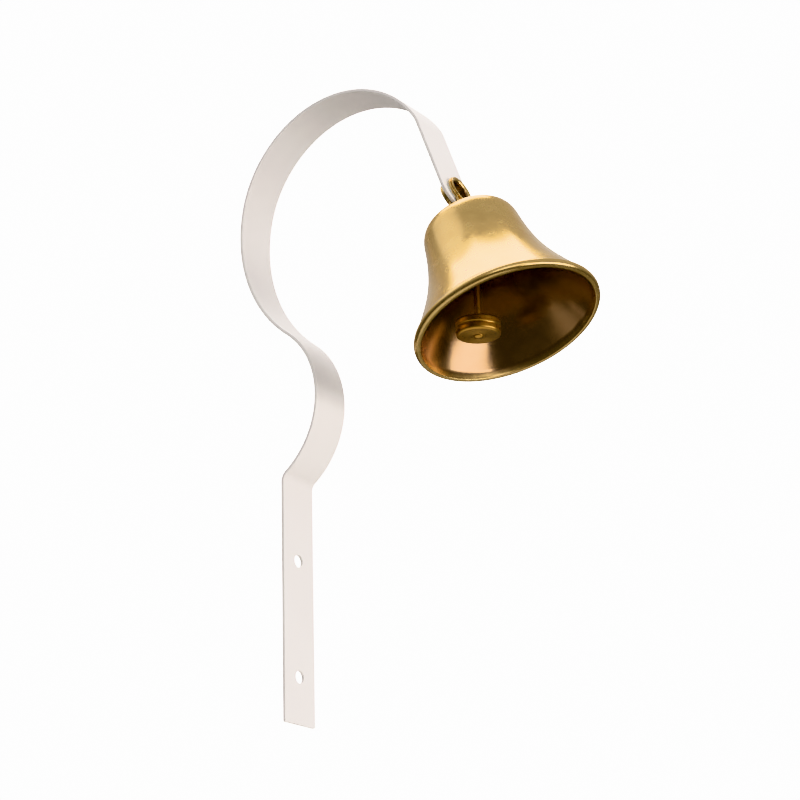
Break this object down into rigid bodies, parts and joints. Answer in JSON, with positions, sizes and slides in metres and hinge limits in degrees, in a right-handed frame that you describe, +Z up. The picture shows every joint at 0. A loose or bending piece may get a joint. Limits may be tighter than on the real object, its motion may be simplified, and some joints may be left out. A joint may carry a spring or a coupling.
{
  "type": "wall mounted bell",
  "caption": "Wall mounted shop bell: a curled spring strip with a screw flange holds a flared brass bell on a pivot, with a hanging clapper inside.",
  "frame": {"origin": "middle of the two screw holes, on the flange's back face", "axes": "+Z up along the flange, +X away from the wall, Y across the strip"},
  "size_m": [0.1606, 0.0756, 0.2614],
  "materials": {
    "powder_coat": "white powder coat, semi-gloss",
    "bell_brass": "cast, polished and lacquered",
    "fork_brass": "polished and lacquered",
    "rivet_brass": "drawn and flared",
    "clapper_brass": "turned and drawn, satin",
    "plated_steel": "zinc plated",
    "nylon": "natural nylon"
  },
  "bodies": {
    "bracket": {"bracket_strip": "powder_coat"},
    "bell": {"bell_shell": "bell_brass", "hanger_fork": "fork_brass", "pivot_rivet": "rivet_brass", "pivot_washers": "nylon", "crown_washer": "plated_steel", "crown_nut": "plated_steel", "clapper_eyebolt": "clapper_brass"},
    "link": {"clapper_link": "clapper_brass"},
    "clapper": {"clapper_rod": "clapper_brass", "clapper_weight": "clapper_brass"}
  },
  "joints": [
    {"name": "bell_swing", "type": "hinge", "parent": "bracket", "child": "bell", "pos_m": [0.0826, 0, 0.16019], "axis": [0.9426, 0, 0.3338], "range_deg": [-45, 45]},
    {"name": "link_swing", "type": "hinge", "parent": "bell", "child": "link", "pos_m": [0.09054, 0, 0.13456], "axis": [1, 0, 0], "range_deg": [-10, 10]},
    {"name": "clapper_swing", "type": "hinge", "parent": "link", "child": "clapper", "pos_m": [0.09054, 0, 0.12936], "axis": [0, -1, 0], "range_deg": [-12, 55]}
  ]
}
